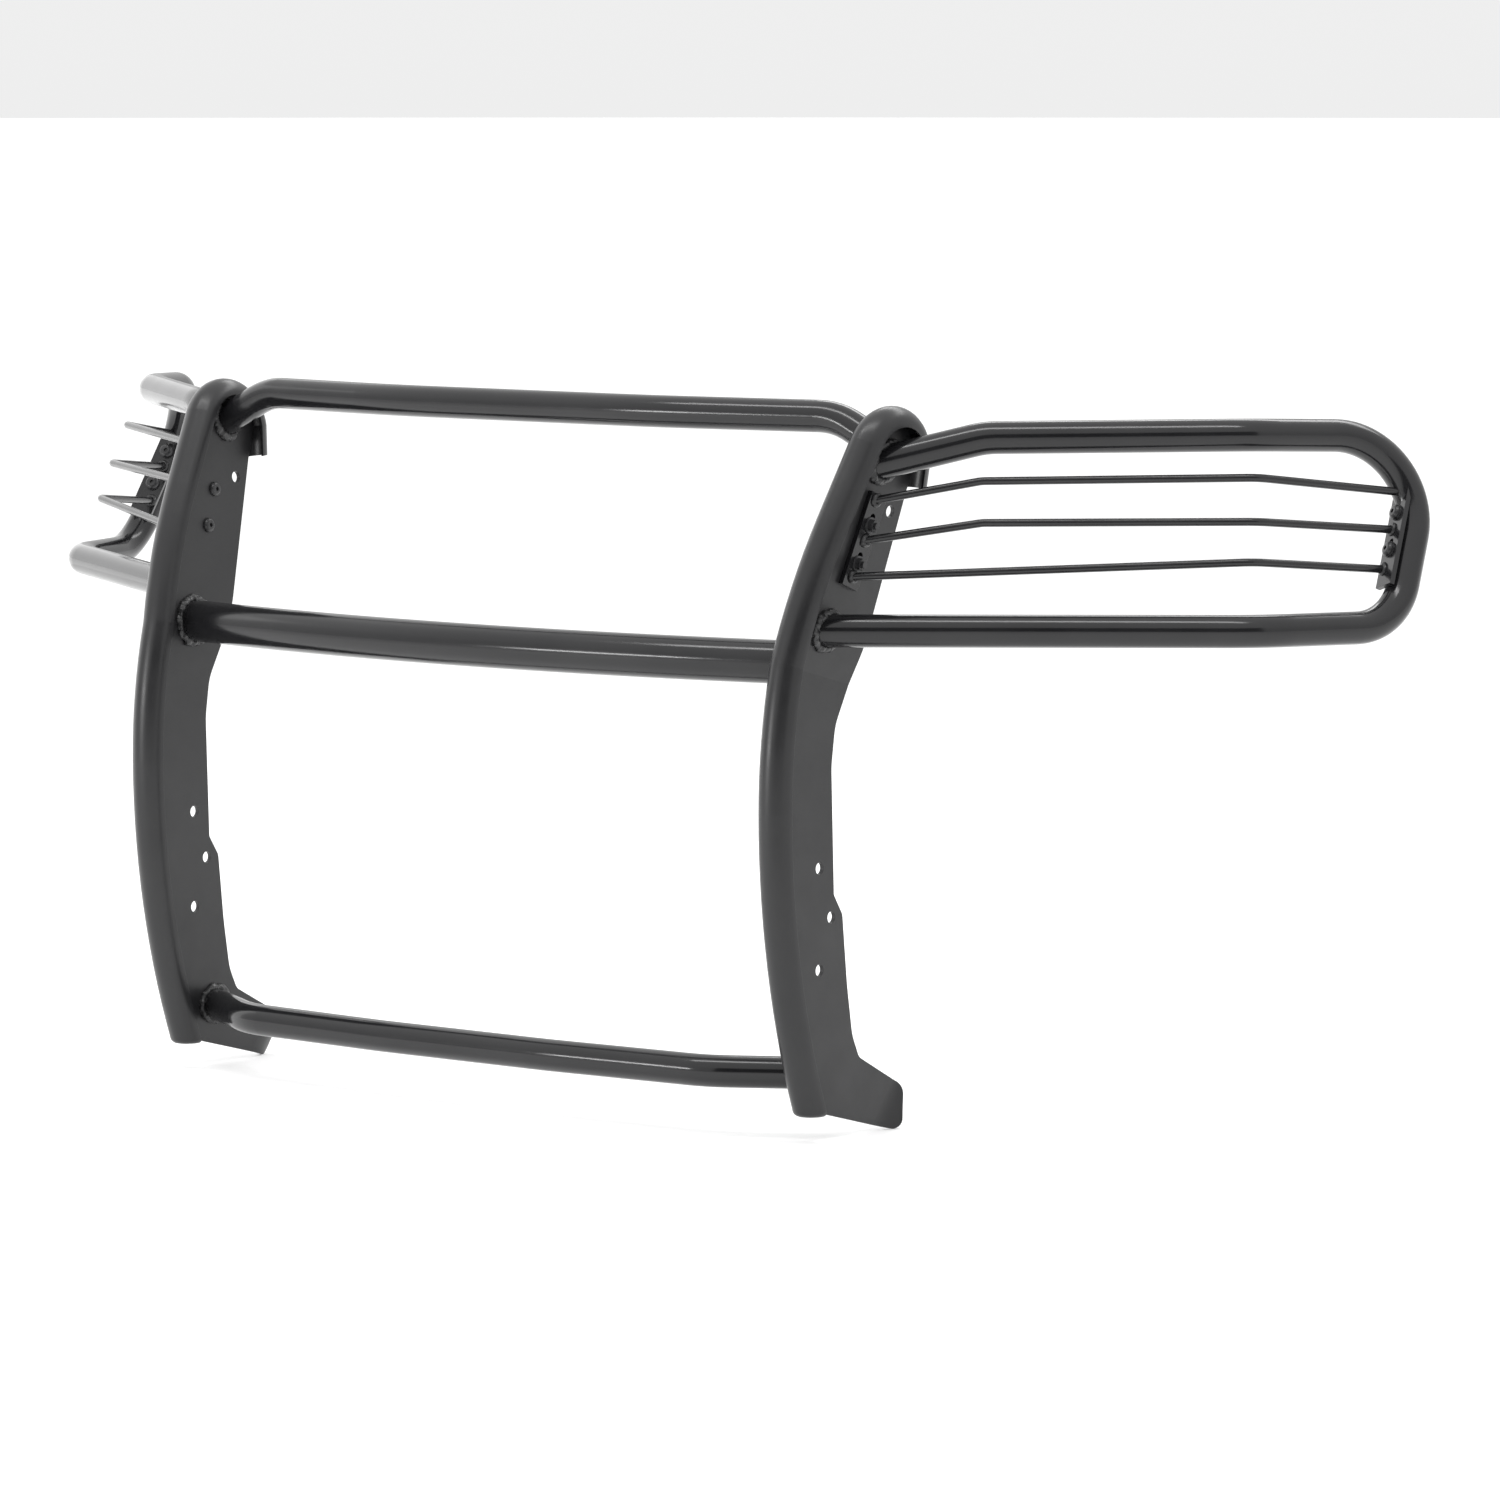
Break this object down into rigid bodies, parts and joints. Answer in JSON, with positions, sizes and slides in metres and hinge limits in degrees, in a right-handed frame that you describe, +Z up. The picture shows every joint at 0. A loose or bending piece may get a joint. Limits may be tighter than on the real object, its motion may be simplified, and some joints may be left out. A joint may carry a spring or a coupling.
{
  "type": "front grille guard",
  "caption": "Welded tube-and-plate grille guard with crossbars, two curved uprights and side headlight loops holding bolted rod inserts.",
  "frame": {"origin": "bottom centre of the whole guard's bounding box", "axes": "+X across the vehicle, +Y towards the vehicle (the guard's front faces -Y), +Z up"},
  "size_m": [2.0146, 0.6107, 0.8503],
  "materials": {
    "tube_coat": "semi-gloss black powder coat",
    "plate_coat": "semi-gloss black powder coat",
    "insert_coat": "semi-gloss black powder coat",
    "weld_coat": "powder-coated weld bead",
    "black_fastener": "black zinc",
    "zinc_fastener": "zinc-plated"
  },
  "bodies": {
    "root": {"bottom_crossbar": "tube_coat", "left_bottom_crossbar_weld": "weld_coat", "left_headlight_loop": "tube_coat", "left_inner_nuts": "black_fastener", "left_inner_screws": "black_fastener", "left_inner_washers": "black_fastener", "left_insert_inner_bracket": "insert_coat", "left_insert_inner_welds": "weld_coat", "left_insert_outer_bracket": "insert_coat", "left_insert_outer_welds": "weld_coat", "left_insert_rod_lower": "insert_coat", "left_insert_rod_middle": "insert_coat", "left_insert_rod_upper": "insert_coat", "left_loop_welds": "weld_coat", "left_middle_crossbar_weld": "weld_coat", "left_outer_screws": "black_fastener", "left_outer_washers": "black_fastener", "left_rail": "plate_coat", "left_threaded_sleeves": "zinc_fastener", "left_top_crossbar_weld": "weld_coat", "left_upright_plate": "plate_coat", "middle_crossbar": "tube_coat", "right_bottom_crossbar_weld": "weld_coat", "right_headlight_loop": "tube_coat", "right_inner_nuts": "black_fastener", "right_inner_screws": "black_fastener", "right_inner_washers": "black_fastener", "right_insert_inner_bracket": "insert_coat", "right_insert_inner_welds": "weld_coat", "right_insert_outer_bracket": "insert_coat", "right_insert_outer_welds": "weld_coat", "right_insert_rod_lower": "insert_coat", "right_insert_rod_middle": "insert_coat", "right_insert_rod_upper": "insert_coat", "right_loop_welds": "weld_coat", "right_middle_crossbar_weld": "weld_coat", "right_outer_screws": "black_fastener", "right_outer_washers": "black_fastener", "right_rail": "plate_coat", "right_threaded_sleeves": "zinc_fastener", "right_top_crossbar_weld": "weld_coat", "right_upright_plate": "plate_coat", "top_crossbar": "tube_coat"}
  },
  "joints": []
}
